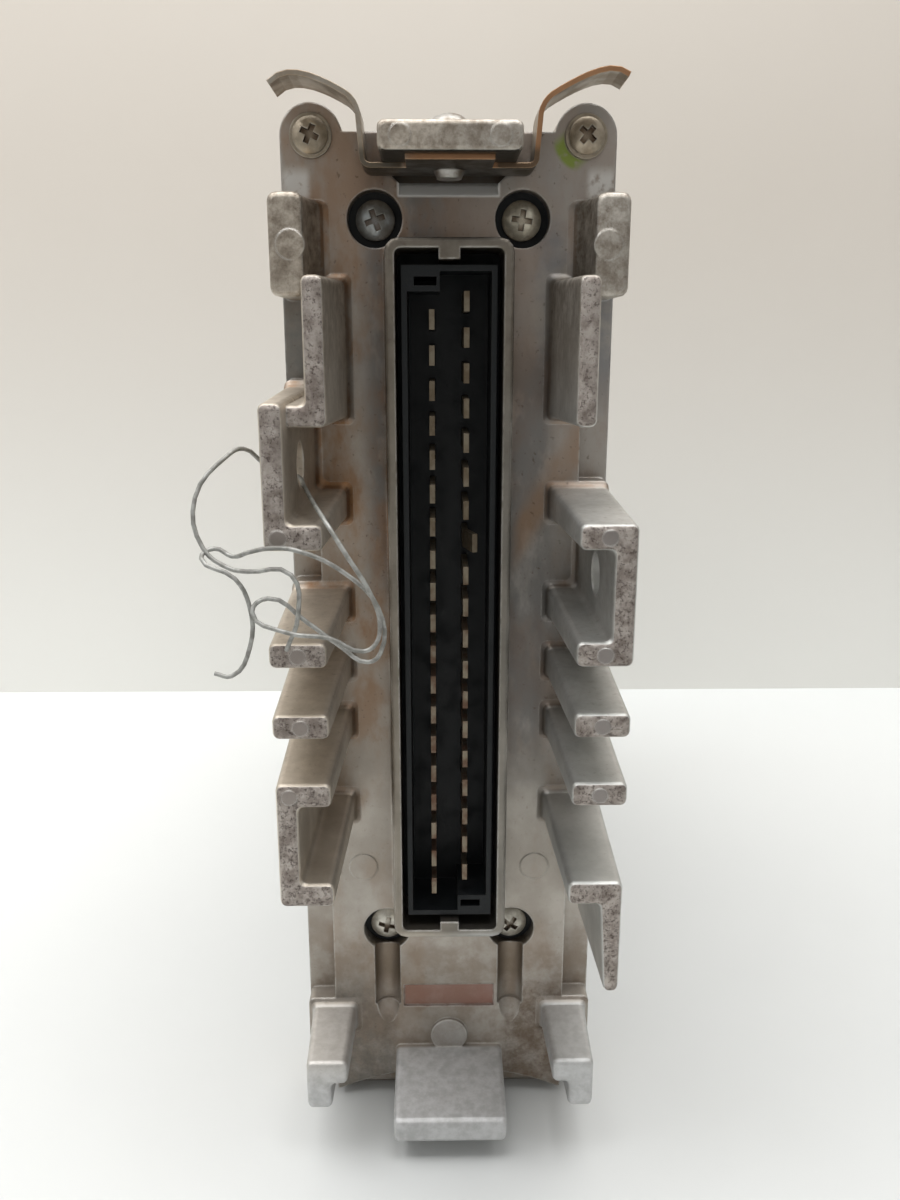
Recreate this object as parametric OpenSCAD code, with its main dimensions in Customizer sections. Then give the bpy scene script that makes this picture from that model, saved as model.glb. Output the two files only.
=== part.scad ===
// Engine control unit: a narrow upright case with a die-cast connector end.
// Every module works from the raised face of the casting at y = 0, with the plug side towards -y;
// from_face() then moves it so that the unit stands on the middle of its base.

/* [Casting] */
// Width of the casting over its side flanges
plate_w = 49.6; // [48:0.2:56]
// Height of the casting up to its top edge, without the lugs
plate_h = 158; // [145:0.5:172]
// Width of the raised face
face_w = 40; // [38:0.5:44]
// Wall behind the raised face
face_wall = 3; // [2.8:0.1:4]
// Step from the raised face back to the side flanges
face_step = 3.5; // [2:0.25:4]
// Wall of the side flanges
flange_wall = 2.5; // [2:0.1:3]
// Height of the raised face above the bottom edge
face_low = 1.5; // [0.5:0.25:3]
// Height of the middle of the raised face above the top edge
face_rise = 3; // [1:0.25:4]
// Height of the arch under the foot
arch_h = 5.6; // [3:0.1:6]
// Depth of the casting behind the raised face
plate_depth = 12; // [11:0.5:20]
// Wall round the rear pocket of the casting
pocket_wall = 2.4; // [2:0.2:3.2]
// Radius of the screw lugs
lug_r = 4.4; // [4:0.1:5]
// Distance of the corner screws from the sides of the casting
corner_inset = 5.3; // [5:0.1:6]
// Height of the upper corner screws above the top edge of the plate
corner_rise = 2.4; // [2:0.1:4]
// Height of the lower corner screws above the bottom edge
corner_low = 5; // [4.5:0.1:6]

/* [Fins] */
// Length of the fins in front of the face
fin_len = 28.5; // [20:0.5:36]
// Length of the short fins beside the foot
short_fin_len = 15; // [10:0.5:18]
// Draft of the fins, in degrees
fin_draft = 1.4; // [0.5:0.1:1.6]
// Thickness of a fin at its root
fin_t = 4.8; // [4:0.1:5.2]
// Thickness of the two upper webs at their root
web_t = 4; // [3:0.1:5]
// Reach of the two upper webs in front of the face
web_len = 25; // [18:0.5:27]
// Thickness of the outer walls that join two fins, at their root
wall_t = 4.4; // [3:0.1:5.5]
// Radius of the hollow round the root of each fin
root_r = 1; // [0.5:0.1:1.4]
// Radius of the edges at the tip of each fin
tip_r = 0.7; // [0.4:0.05:0.8]
// Distance of the fins' inner ends from the middle plane
fin_in = 15.7; // [15.4:0.1:17]
// Distance of the fins' outer ends from the sides of the casting
fin_side_gap = 0.1; // [0.1:0.1:0.8]
// Distance of the lowest guide fin below the middle of the plug
fin_drop = 34.3; // [32:0.1:37]
// Height step between neighbouring straight fins
fin_pitch = 10; // [9:0.1:11]
// Height step across the lower bracket
fin_gap = 15.1; // [14:0.1:17]
// Height step across the upper bracket
upper_fin_gap = 15.7; // [14:0.1:17]
// Height of the upright webs
web_h = 19.8; // [16:0.1:22]
// Radius of the holes in the two outer walls
bracket_hole_r = 3.2; // [2:0.1:3.4]
// Distance of those holes in front of the face
bracket_hole_reach = 15; // [10:0.5:18]
// Distance of those holes above and below the fins that they are next to
bracket_hole_rise = 7.8; // [6:0.1:9]
// Depth of the two corner blocks in front of the face
block_len = 9.5; // [8:0.5:14]
// Height of the corner blocks
block_h = 13.6; // [10:0.2:15]
// Distance of the corner blocks' tops below the top edge
block_drop = 6.1; // [5:0.1:8]

/* [Connector] */
// Height of the middle of the plug above the middle of the casting
plug_rise = 12.6; // [12:0.1:13]
// Height of the casting that the columns of contacts leave free
plug_margin = 60; // [58:0.5:66]
// Distance between neighbouring contacts
contact_pitch = 5; // [4.5:0.1:5.5]
// Distance between the two columns
column_gap = 5; // [4.5:0.1:5.6]
// Width of a contact blade
blade_w = 2.8; // [2:0.1:3.2]
// Thickness of a contact blade
blade_t = 0.8; // [0.5:0.05:1]
// Reach of the blades in front of the face
blade_reach = 5.5; // [3:0.25:6]
// Side of the square contact tails
tail_t = 0.7; // [0.5:0.05:0.8]
// Wall of the plastic shroud
shroud_wall = 0.8; // [0.6:0.1:1.2]
// Outer width of the plastic shroud
shroud_w = 13.6; // [12.5:0.1:14]
// Room past the last contacts inside the shroud
shroud_end = 2.65; // [2:0.05:3]
// Reach of the shroud in front of the face
shroud_reach = 6.3; // [5:0.1:7]
// Depth of the shroud's floor behind the face
shroud_floor = 4; // [2:0.25:4.5]
// Thickness of the header's flange behind the plate
header_flange_t = 4; // [3.5:0.25:6]
// Gap between shroud and collar at the sides
collar_gap = 0.9; // [0.4:0.05:1.2]
// Gap between shroud and collar at the ends
collar_end_gap = 2.2; // [1.8:0.1:2.6]
// Wall of the metal collar
collar_wall = 1.4; // [1:0.1:1.8]
// Height of the collar in front of the face
collar_reach = 7.5; // [6:0.25:10]
// Width of the two coding keys in the collar
key_w = 3; // [2:0.1:4]
// Height of the two coding keys in the collar
key_h = 1.5; // [1:0.1:1.8]

/* [Fasteners] */
// Distance of the header screws from the middle plane
header_screw_x = 10.7; // [10.4:0.1:12]
// Distance of the header screws past the ends of the collar
header_screw_drop = 3.1; // [2.8:0.1:4]
// Radius of the access holes round the header screws
access_r = 4; // [3:0.1:3.7]
// Radius of the header screws' heads
header_head_r = 2.85; // [2.2:0.1:2.9]
// Radius of the corner screws' heads
corner_head_r = 2.5; // [2.2:0.1:3]
// Radius of the pressed flange under the corner screws' heads
corner_flange_r = 3; // [2.6:0.1:3.6]
// Height of the screw heads
head_h = 2; // [1.6:0.1:2.4]
// Radius of the screws' shanks
shank_r = 1.45; // [1.2:0.05:1.6]
// Clearance round shanks, rivet and tails
hole_clearance = 0.3; // [0.2:0.05:0.4]

/* [Spring clip] */
// Reach of the ledge and of the foot in front of the face
ledge_reach = 16.1; // [14:0.1:20]
// Width of the ledge and of the foot
ledge_w = 18.7; // [17:0.1:20]
// Thickness of the ledge
ledge_t = 3.8; // [3:0.1:4.5]
// Height of the ledge's top above the top edge of the plate
ledge_rise = 1.6; // [1:0.1:2.4]
// Thickness of the spring sheet
clip_t = 0.7; // [0.5:0.05:0.9]
// Width of the clip's arms, along the depth of the unit
clip_arm_w = 7.1; // [5:0.1:8]
// Width of the clip's middle tongue across the unit
clip_tongue_w = 11.7; // [9:0.1:14]
// Distance of the clip's upright arms from the middle plane
clip_x = 12.2; // [11.6:0.1:12.6]
// Radius of the rivet's shank
rivet_r = 1.6; // [1.2:0.1:2]
// Radius of the rivet's head
rivet_head_r = 3.1; // [2.6:0.1:3.6]

/* [Case] */
// Length of the case sleeve behind the casting
sleeve_len = 130; // [120:1:170]
// Wall of the case sleeve
sleeve_wall = 2; // [1.5:0.1:2.3]
// Thickness of both gaskets
gasket_t = 1; // [0.5:0.1:1.5]
// Thickness of the rear cover
cover_t = 3; // [2.5:0.25:5]
// Thickness of the circuit board
board_t = 1.6; // [1:0.1:2]
// Clearance between the board and the clamp screws behind it
board_clear = 1.3; // [1:0.1:2]
// Thickness of the header carrier and its cooling leg
carrier_t = 3; // [2:0.1:3.4]

/* [Hidden] */
$fn = 48;
// Past a face, for a clean cut, and into a face, for a sound joint
cut = 1;
sink = 0.5;

// Depths, measured from the face
mark_t = 0.1;
sleeve_y = plate_depth + gasket_t;
sleeve_end = sleeve_y + sleeve_len;
cover_y = sleeve_end + gasket_t;
rear_y = cover_y + cover_t + head_h;
front_y = -fin_len - mark_t;
mid_y = (rear_y + front_y) / 2;
flange_back = face_step + flange_wall;

// Connector sizes
plug_z = plate_h / 2 + plug_rise;
contacts = floor((plate_h - plug_margin) / contact_pitch);
stagger = contact_pitch / 2;
contact_span = (contacts - 1) * contact_pitch + stagger + blade_w;
shroud_h = contact_span + 2 * (shroud_end + shroud_wall);
collar_w = shroud_w + 2 * collar_gap;
collar_h = shroud_h + 2 * collar_end_gap;
collar_r = 2;
collar_root = 0.5;
collar_rim = 0.5;
header_y = face_wall;
header_back = header_y + header_flange_t;
header_screw_dz = collar_h / 2 + collar_wall + header_screw_drop;
header_ear = 4.6;
header_flange_w = 2 * (header_screw_x + header_ear);
header_flange_h = 2 * (header_screw_dz + header_ear);
header_screws_at = [for (sx = [-1, 1], sz = [-1, 1]) [sx * header_screw_x, plug_z + sz * header_screw_dz]];
carrier_y = header_back;

// Corner screws: two through the casting, four through the rear cover
corner_x = plate_w / 2 - corner_inset;
corner_top = plate_h + corner_rise;
front_corners = [[-corner_x, corner_top], [corner_x, corner_top]];
rear_corners = concat(front_corners, [[-corner_x, corner_low], [corner_x, corner_low]]);
port_len = 14;

// Places of the fins
fin_half = fin_t / 2;
fin_out = plate_w / 2 - fin_side_gap;
fin_back = face_step + sink;
wall_in = fin_out - wall_t;
fin_low = plug_z - fin_drop;
fin_e = fin_low + fin_gap;
fin_d = fin_e + fin_pitch;
fin_c = fin_d + fin_pitch;
fin_b = fin_c + upper_fin_gap;
web_in = fin_in - 0.5;
web_low = fin_b + 13;
web_top = web_low + web_h;
arm_top = web_low + web_t;
arm_out = fin_out - 1.5;
web_sink = 0.3;
wall_top = arm_top + 0.6;
leg_w = 4.4;
leg_tip_w = 3.5;
leg_drop = 16.5;
short_in = 16.4;
short_out = plate_w / 2 - 1;
short_top = 19.2;
short_low = 9.8;
left_hole = [-fin_out, -bracket_hole_reach, fin_b + bracket_hole_rise];
right_hole = [fin_out, -bracket_hole_reach, fin_b - bracket_hole_rise];
corner_steps = 3;
fin_corner_r = 0.22 * web_t;

// Corner blocks
block_top = plate_h - block_drop;
block_low = block_top - block_h;
block_t = 4.8;
block_root_t = 7.5;
block_r = 1.2;
block_pin_r = 2;
block_pin_x = fin_out - 3;

// The ledge, and the dip in the face under it
ledge_top = plate_h + ledge_rise;
ledge_low = ledge_top - ledge_t;
ledge_r = 0.9;
ledge_edge = 0.6;
dip_z = ledge_low - 1.6;
dip_depth = 2.2;
dip_chamfer = 1.6;
dip_w = 14.2;
clip_z = ledge_low - clip_t;
clip_front = ledge_reach - 2;
clip_back = 0.4;
rivet_y = -5;
rivet_head_h = 2.8;
rivet_dome_r = 4;
rivet_tail_h = 1.1;
rivet_tail_r = 2.2;

// The foot, and the grooves and band above it
foot_low = 4.2;
foot_tip_top = 8.3;
foot_root_low = 3.6;
foot_root_top = 10.6;
foot_r = 0.8;
boss_r = 3.2;
boss_reach = 0.7;
boss_z = foot_root_top + 2.2;
arch_depth = 2;
arch_r = (corner_x * corner_x + (arch_h - face_low) * (arch_h - face_low)) / (2 * (arch_h - face_low));
groove_r = 2.2;
groove_low = 13.9;
groove_ramp = 5;
groove_tilt = atan(groove_r / groove_ramp);
band_w = 15.8;
band_low = 18.4;
band_high = 22.7;
band_depth = 0.4;

// Rear pocket of the casting, and the tongue that holds its lower edge in the sleeve
pocket_w = plate_w - 2 * pocket_wall;
pocket_h = plate_h - 2 * pocket_wall;
pocket_clear = 0.3;
tongue_x = -5;
tongue_w = 20;
tongue_t = 2.8;
tongue_len = 8;

// Circuit board and cooling leg
board_front = sleeve_y;
board_back = sleeve_end - 1;
board_len = board_back - board_front;
board_low = sleeve_wall;
board_high = plate_h - sleeve_wall;
leg_face = -pocket_w / 2 + pocket_clear + carrier_t;
cooling_low = board_low + 28;
cooling_h = board_high - 16 - cooling_low;
cooling_len = 90;
transistor_w = 10;
transistor_t = 4.5;
transistor_y = board_front + 55;
transistor_pitch = cooling_h / 7;
transistor_z = [for (k = [0 : 5]) cooling_low + (k + 1.5) * transistor_pitch];
bar_t = 1.5;
bar_w = 7;
bar_y = transistor_y + 1;
clamp_head_h = 1.2;
clamp_shank_r = 1.25;
board_x = -(leg_face + transistor_t + bar_t + clamp_head_h + board_clear + board_t);
tail_y = board_front + 4;
tail_step = 4;

// Components on the board: places are shares of its length and height
chip_stand = 0.8;
chip_h = 3.6;
chip_pitch = 2.54;
wide_chip_w = 15.2;
processor_l = 52;
memory_l = 36;
driver_w = 7.6;
driver_l = 20;
crystal_w = 4;
crystal_l = 10;
crystal_h = 12;
socket_w = wide_chip_w + 1.2;
socket_l = memory_l + 1;
socket_rim = 3.3;
leg_t = 0.6;
socket_h = 4.2;
capacitor_r = 6;
capacitor_h = 20;
choke_r = 8;
choke_hole_r = 3.5;
choke_h = 9;
processor_at = [0.58, 0.71];
memory_at = [0.58, 0.39];
drivers_at = [for (share = [0.29, 0.485, 0.68, 0.875]) [0.28, share]];
capacitors_at = [[0.78, 0.22], [0.78, 0.33], [0.78, 0.92]];
crystal_at = [0.4, 0.71];
choke_at = [0.78, 0.53];

// The loose wire, measured from the left bracket's hole: from its first end on a fin's tip, over the twist
// and the outer loop, through the hole, twice round in front of the fins and back over the twist
wire_r = 0.3;
wire_route = [
  [3.2, -14, -22.4], [5.2, -16, -16.9], [4.5, -16, -11.9], [-1.3, -14, -11.9], [-3.8, -13, -11.7],
  [-7.1, -12.5, -9.2], [-8.1, -11, -2.9], [-4.3, -8, 2.1], [-2.7, -5, 2.7], [-0.1, -0.4, -0.3],
  [3.7, -0.3, -1.6], [4.7, -2.5, -2.5], [6.2, -7, -3.7], [9, -14.5, -5.7], [11.2, -16, -8.9],
  [14.7, -16.5, -14.9], [15.5, -16.2, -18.3], [14.9, -16.4, -20.9], [13.3, -16.8, -21.7], [9.2, -17, -19.9],
  [3.7, -17, -19.1], [-0.6, -16, -16.7], [1.3, -15.3, -15.1], [6.1, -15.3, -18.2], [10.3, -15.4, -21.4],
  [13.9, -15.4, -23.6], [15.5, -15.4, -22.3], [15.3, -15.4, -16.4], [11.4, -15.4, -12], [5.2, -15.4, -8.9],
  [1.7, -15, -8.7], [-1.1, -14, -9.4], [-3.5, -12.2, -10.3], [-5.9, -11.6, -9.4], [-7.2, -13.4, -10.3],
  [-2.9, -14.4, -12.7], [-1.3, -14, -16.4], [-1.5, -14, -21.9], [-4.1, -14, -25.9], [-6.3, -14, -25.5]];

module from_face() translate([0, -mid_y, 0]) children();

// Raises an outline drawn in x and z to a solid from depth y0 to depth y1
module along_y(y0, y1) translate([0, y1, 0]) rotate([90, 0, 0]) linear_extrude(y1 - y0) children();

// Raises an outline drawn in y and z to a solid of width w across the middle plane
module along_x(w) translate([-w / 2, 0, 0]) rotate([90, 0, 90]) linear_extrude(w) children();

module on_side(side) mirror([side < 0 ? 1 : 0, 0, 0]) children();

module round_rect(w, h, r) {
  square([w - 2 * r, h], center = true);
  square([w, h - 2 * r], center = true);
  for (sx = [-1, 1], sz = [-1, 1])
    translate([sx * (w / 2 - r), sz * (h / 2 - r)]) circle(r);
}

// Outlines are lists of [x, z] corners that run anticlockwise, seen from the plug
function unit(v) = v / norm(v);
function before(list, i) = list[(i + len(list) - 1) % len(list)];
function after(list, i) = list[(i + 1) % len(list)];
function outward(a, b) = let (v = unit(b - a)) [v[1], -v[0]];

// The outline with every side moved inwards by d
function inset(outline, d) =
  [for (i = [0 : len(outline) - 1])
    let (u = outward(before(outline, i), outline[i]), v = outward(outline[i], after(outline, i)))
      outline[i] - d * (u + v) / (1 + u * v)];

// The outline kept within x_max, so that a root doesn't grow past the side of the casting
function held(outline, x_max) = [for (p = outline) [min(p[0], x_max), p[1]]];

// The outline with its outer and inner corners rounded to radius r
function soft(outline, r) =
  [for (i = [0 : len(outline) - 1])
    let (p = outline[i],
         a = unit(before(outline, i) - p),
         b = unit(after(outline, i) - p),
         lean = acos(a * b) / 2,
         middle = p + unit(a + b) * r / sin(lean),
         start = p + a * r / tan(lean) - middle,
         end = p + b * r / tan(lean) - middle,
         sweep = 180 - 2 * lean)
      for (k = [0 : corner_steps])
        let (turn = sweep * k / corner_steps)
          middle + (start * sin(sweep - turn) + end * sin(turn)) / sin(sweep)];

function box_outline(x0, x1, z0, z1) = [[x0, z0], [x1, z0], [x1, z1], [x0, z1]];
function at_depth(outline, y) = [for (p = outline) [p[0], y, p[1]]];

// A closed solid through a row of loops with the same even number of points. Each end is closed by a strip
// between the first half of its loop and the second half, so that a bent outline is closed as well
module loft(loops) {
  n = len(loops[0]);
  last = len(loops) - 1;
  walls = [for (j = [0 : last - 1], i = [0 : n - 1])
    [j * n + i, (j + 1) * n + i, (j + 1) * n + (i + 1) % n, j * n + (i + 1) % n]];
  root = [for (k = [0 : n / 2 - 2]) [k, k + 1, n - 2 - k, n - 1 - k]];
  tip = [for (k = [0 : n / 2 - 2]) [for (i = [n - 1 - k, n - 2 - k, k + 1, k]) last * n + i]];
  polyhedron([for (loop = loops) each loop], concat(root, walls, tip));
}

// A form cast out of the face: each ring gives a depth, how far the outline is inset there and its corner radius
module cast_form(outline, rings, x_max)
  loft([for (ring = rings) at_depth(soft(held(inset(outline, ring[1]), x_max), ring[2]), ring[0])]);

// Rings of a fin: sunk in the plate, hollow at the root, drawn in by the draft and rounded at the tip
function fin_rings(len, back) =
  let (draft = len * tan(fin_draft))
    [[back, -root_r, root_r], [0, -root_r, root_r], [-0.35 * root_r, -0.45 * root_r, root_r],
     [-1.1 * root_r, 0, fin_corner_r], [tip_r - len, draft, fin_corner_r],
     [0.3 * tip_r - len, draft + 0.3 * tip_r, 0.8 * fin_corner_r], [-len, draft + tip_r, 0.3 * fin_corner_r]];

module fin(side, outline, len = fin_len, back = fin_back)
  on_side(side) cast_form(outline, fin_rings(len, back), fin_out);

function straight(z) = box_outline(fin_in, fin_out, z - fin_half, z + fin_half);
function bracket(low, high) =
  [[fin_in, low - fin_half], [fin_out, low - fin_half], [fin_out, high + fin_half], [fin_in, high + fin_half],
   [fin_in, high - fin_half], [wall_in, high - fin_half], [wall_in, low + fin_half], [fin_in, low + fin_half]];
function web() = box_outline(web_in, web_in + web_t, web_low, web_top);
function armed_web() =
  [[web_in, web_top], [web_in, web_low], [arm_out, web_low], [arm_out, arm_top],
   [web_in + web_t, arm_top], [web_in + web_t, web_top]];
function walled(z) =
  [[fin_in, z - fin_half], [fin_out, z - fin_half], [fin_out, wall_top], [wall_in, wall_top],
   [wall_in, z + fin_half], [fin_in, z + fin_half]];
function legged(z) =
  [[fin_in, z - fin_half], [fin_out - leg_w, z - fin_half], [fin_out - leg_tip_w, z - leg_drop],
   [fin_out, z - leg_drop], [fin_out, z + fin_half], [fin_in, z + fin_half]];
function short_leg() =
  [[short_in, short_top - fin_t], [short_out - fin_t, short_top - fin_t], [short_out - fin_t, short_low],
   [short_out, short_low], [short_out, short_top], [short_in, short_top]];

module fins() {
  fin(-1, armed_web(), web_len, fin_back - web_sink);
  fin(-1, walled(fin_b));
  fin(-1, straight(fin_c));
  fin(-1, straight(fin_d));
  fin(-1, bracket(fin_low, fin_e));
  fin(1, web(), web_len);
  fin(1, bracket(fin_c, fin_b));
  fin(1, straight(fin_d));
  fin(1, straight(fin_e));
  fin(1, legged(fin_low));
  for (side = [-1, 1]) fin(side, short_leg(), short_fin_len);
}

// Corner block with a hollow blend on its inner side and the mark of an ejector pin on it
module corner_block(side) {
  flare = block_root_t - block_t;
  straight_len = block_len - tip_r;
  blend = [for (a = [0 : 18 : 90]) [-straight_len * (1 - cos(a)), block_t + flare * (1 - sin(a)), 0, block_r]];
  rings = concat([[fin_back, block_root_t, 0, block_r]], blend,
                 [[0.3 * tip_r - block_len, block_t, 0.3 * tip_r, block_r],
                  [-block_len, block_t, tip_r, block_r - tip_r]]);
  on_side(side) {
    loft([for (ring = rings)
      at_depth(soft(inset(box_outline(fin_out - ring[1], fin_out, block_low, block_top), ring[2]), ring[3]),
               ring[0])]);
    translate([block_pin_x, 0, (block_low + block_top) / 2]) along_y(-block_len - mark_t, sink) circle(block_pin_r);
  }
}

module collar_body() {
  w = collar_w / 2 + collar_wall;
  h = collar_h / 2 + collar_wall;
  rings = [[sink, -collar_root, collar_r + collar_root], [0, -collar_root, collar_r + collar_root],
           [-collar_root, 0, collar_r], [collar_rim - collar_reach, 0, collar_r],
           [0.3 * collar_rim - collar_reach, 0.3 * collar_rim, collar_r - 0.3 * collar_rim],
           [-collar_reach, collar_rim, collar_r - collar_rim]];
  cast_form(box_outline(-w, w, plug_z - h, plug_z + h), rings, plate_w);
}

module ledge() {
  rings = [[dip_depth + sink, 0, ledge_r], [ledge_edge - ledge_reach, 0, ledge_r],
           [0.3 * ledge_edge - ledge_reach, 0.3 * ledge_edge, ledge_r],
           [-ledge_reach, ledge_edge, ledge_r / 2]];
  cast_form(box_outline(-ledge_w / 2, ledge_w / 2, ledge_low, ledge_top), rings, plate_w);
}

// The foot tapers towards its tip, and a round boss stands at its root
module foot() {
  rings = [[arch_depth, 0, foot_r], [foot_r - ledge_reach, 0, foot_r],
           [0.3 * foot_r - ledge_reach, 0.3 * foot_r, foot_r], [-ledge_reach, foot_r, foot_r / 2]];
  loft([for (ring = rings)
    let (share = -ring[0] / ledge_reach,
         low = foot_root_low + share * (foot_low - foot_root_low),
         top = foot_root_top + share * (foot_tip_top - foot_root_top))
      at_depth(soft(inset(box_outline(-ledge_w / 2, ledge_w / 2, low, top), ring[1]), ring[2]), ring[0])]);
  translate([0, 0, boss_z]) along_y(-boss_reach, sink) circle(boss_r);
}

// Round marks of the ejector pins on the face, the ledge and the fin tips
module ejector_marks() {
  middle = (fin_in + fin_out) / 2;
  tip_marks = [[-fin_out + 2.6, fin_b], [-middle, fin_c], [-middle, fin_d], [-fin_out + 2.6, fin_e],
               [middle, fin_b], [middle, fin_c], [middle, fin_d], [middle, fin_e]];
  for (p = tip_marks) translate([p[0], 0, p[1]]) along_y(front_y, sink - fin_len) circle(1.1);
  for (sx = [-1, 1]) {
    translate([sx * 6.45, 0, (ledge_low + ledge_top) / 2])
      along_y(-ledge_reach - mark_t, sink - ledge_reach) circle(1.4);
    translate([sx * 14.5, 0, plug_z - header_screw_dz + 12]) along_y(-mark_t, sink) circle(2.4);
  }
}

module lug_outline() {
  for (sx = [-1, 1]) {
    translate([sx * corner_x, corner_top]) circle(lug_r);
    translate([sx * corner_x, corner_top - lug_r]) square([2 * lug_r, 2 * lug_r], center = true);
  }
}

module flange_outline() {
  translate([-plate_w / 2, 0]) square([plate_w, plate_h - lug_r]);
  translate([-corner_x, 0]) square([2 * corner_x, plate_h]);
  lug_outline();
}

// The raised face, with its middle drawn up between the lugs
module face_outline() {
  translate([-face_w / 2, face_low]) square([face_w, plate_h - face_low]);
  translate([-corner_x, face_low]) square([2 * corner_x, plate_h + face_rise - face_low]);
  lug_outline();
}

// The dip under the ledge, with a chamfer along its lower edge
module dip() {
  along_y(-cut, dip_depth)
    polygon([[-ledge_w / 2, ledge_low + sink], [-dip_w / 2, dip_z], [dip_w / 2, dip_z],
             [ledge_w / 2, ledge_low + sink]]);
  along_x(dip_w)
    polygon([[-cut, dip_z - dip_chamfer], [0, dip_z - dip_chamfer], [dip_chamfer, dip_z], [dip_chamfer, ledge_low],
             [-cut, ledge_low]]);
}

// The band above the foot, the two grooves that run down from the screws and out in a ramp, and the arch
module lower_cuts() {
  along_y(-cut, band_depth) translate([-band_w / 2, band_low]) square([band_w, band_high - band_low]);
  for (sx = [-1, 1])
    translate([sx * header_screw_x, 0, groove_low + groove_ramp]) {
      cylinder(h = plug_z - header_screw_dz - groove_low - groove_ramp, r = groove_r);
      translate([0, 0, groove_r / 2]) rotate([180 - groove_tilt, 0, 0])
        cylinder(h = 2 * groove_ramp, r = 0.9 * groove_r);
    }
  along_y(-cut, arch_depth) translate([0, arch_h - arch_r]) circle(arch_r);
}

module pocket() {
  translate([0, 0, plate_h / 2]) {
    along_y(face_wall, flange_back + sink) square([face_w - 2 * pocket_wall, pocket_h], center = true);
    along_y(flange_back, plate_depth + cut) difference() {
      square([pocket_w, pocket_h], center = true);
      for (sx = [-1, 1]) translate([sx * corner_x, corner_low - plate_h / 2]) square(2 * lug_r, center = true);
    }
  }
}

module tongue() {
  low = pocket_wall + pocket_clear;
  translate([tongue_x, flange_back, pocket_wall - sink]) cube([tongue_w, plate_depth - flange_back, tongue_t + sink]);
  translate([tongue_x, plate_depth - cut, low]) cube([tongue_w, tongue_len + cut, tongue_t - pocket_clear]);
}

module front_casting() color([0.62, 0.6, 0.58]) from_face() {
  difference() {
    union() {
      difference() {
        union() {
          along_y(face_step, plate_depth) flange_outline();
          along_y(0, plate_depth) face_outline();
        }
        dip();
        lower_cuts();
      }
      collar_body();
      fins();
      corner_block(-1);
      corner_block(1);
      ledge();
      foot();
      ejector_marks();
    }
    pocket();
    translate([0, 0, plug_z]) along_y(-collar_reach - cut, face_wall + cut) round_rect(collar_w, collar_h, 1);
    for (p = header_screws_at) translate([p[0], 0, p[1]]) along_y(-cut, face_wall + cut) circle(access_r);
    screw_holes(front_corners, -cut, plate_depth + cut);
    translate([0, rivet_y, ledge_low - cut]) cylinder(h = ledge_t + 2 * cut, r = rivet_r + hole_clearance);
    translate(left_hole - [cut, 0, 0]) rotate([0, 90, 0]) cylinder(h = wall_t + 2 * cut, r = bracket_hole_r);
    translate(right_hole + [cut, 0, 0]) rotate([0, -90, 0]) cylinder(h = wall_t + 2 * cut, r = bracket_hole_r);
  }
  for (sz = [-1, 1])
    translate([-key_w / 2, -collar_reach, plug_z + sz * (collar_h / 2 - key_h / 2) - key_h / 2 - (sz < 0 ? sink : 0)])
      cube([key_w, collar_reach + face_wall, key_h + sink]);
  tongue();
}

// Centre of contact i in the left (-1) or right (1) column; the right column stands half a pitch higher
function contact_z(side, i) = plug_z + side * stagger / 2 + ((contacts - 1) / 2 - i) * contact_pitch;
function tail_depth(side) = tail_y + (side > 0 ? tail_step : 0);

module connector_header() color([0.09, 0.09, 0.1]) from_face() {
  end_block = [4.6, 2.7];
  end_slot = [3.2, 1.2];
  slot_shift = 0.3;
  fit = 0.1;
  inner = [shroud_w - 2 * shroud_wall, shroud_h - 2 * shroud_wall];
  difference() {
    translate([0, 0, plug_z]) {
      along_y(-shroud_reach, header_back) square([shroud_w, shroud_h], center = true);
      along_y(header_y, header_back) square([header_flange_w, header_flange_h], center = true);
    }
    translate([0, 0, plug_z]) along_y(-shroud_reach - cut, shroud_floor) difference() {
      square(inner, center = true);
      for (s = [-1, 1])
        translate([s * (inner[0] - end_block[0]) / 2, -s * (inner[1] - end_block[1]) / 2]) difference() {
          square(end_block + [fit, fit], center = true);
          translate([-s * slot_shift, 0]) square(end_slot, center = true);
        }
    }
    for (side = [-1, 1], i = [0 : contacts - 1])
      translate([side * column_gap / 2, 0, contact_z(side, i)])
        along_y(shroud_floor - cut, header_back + cut) square([blade_t + fit, blade_w + fit], center = true);
    for (p = header_screws_at)
      translate([p[0], 0, p[1]]) along_y(header_y - cut, header_back + cut) circle(shank_r + hole_clearance);
  }
}

// A straight blade with its tail bent over to the board
module contact(side) {
  x = side * column_gap / 2;
  back = header_back + cut;
  depth = tail_depth(side);
  tail_end = -board_x - board_t - 1;
  translate([x, 0, 0]) along_y(-blade_reach, back) square([blade_t, blade_w], center = true);
  translate([x, 0, 0]) along_y(back, depth + tail_t / 2) square([tail_t, tail_t], center = true);
  translate([tail_end, depth - tail_t / 2, -tail_t / 2]) cube([x + tail_t / 2 - tail_end, tail_t, tail_t]);
}

// The contact that was bent over sideways at its free end
module bent_contact(side) {
  x = side * column_gap / 2;
  stub = 4.6;
  bend = 17;
  overlap = 0.3;
  difference() {
    contact(side);
    translate([x - cut, -blade_reach - cut, -blade_w]) cube([2 * cut, cut + stub + overlap / 3, 2 * blade_w]);
  }
  translate([x, -blade_reach + stub, 0]) rotate([0, 0, bend])
    translate([-blade_t / 2, -stub, -blade_w / 2]) cube([blade_t, stub + overlap, blade_w]);
}

module contact_blades() color([0.62, 0.58, 0.5]) from_face() {
  bent = 7;
  for (side = [-1, 1], i = [0 : contacts - 1])
    translate([0, 0, contact_z(side, i)]) {
      if (side > 0 && i == bent) bent_contact(side);
      else contact(side);
    }
}

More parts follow.
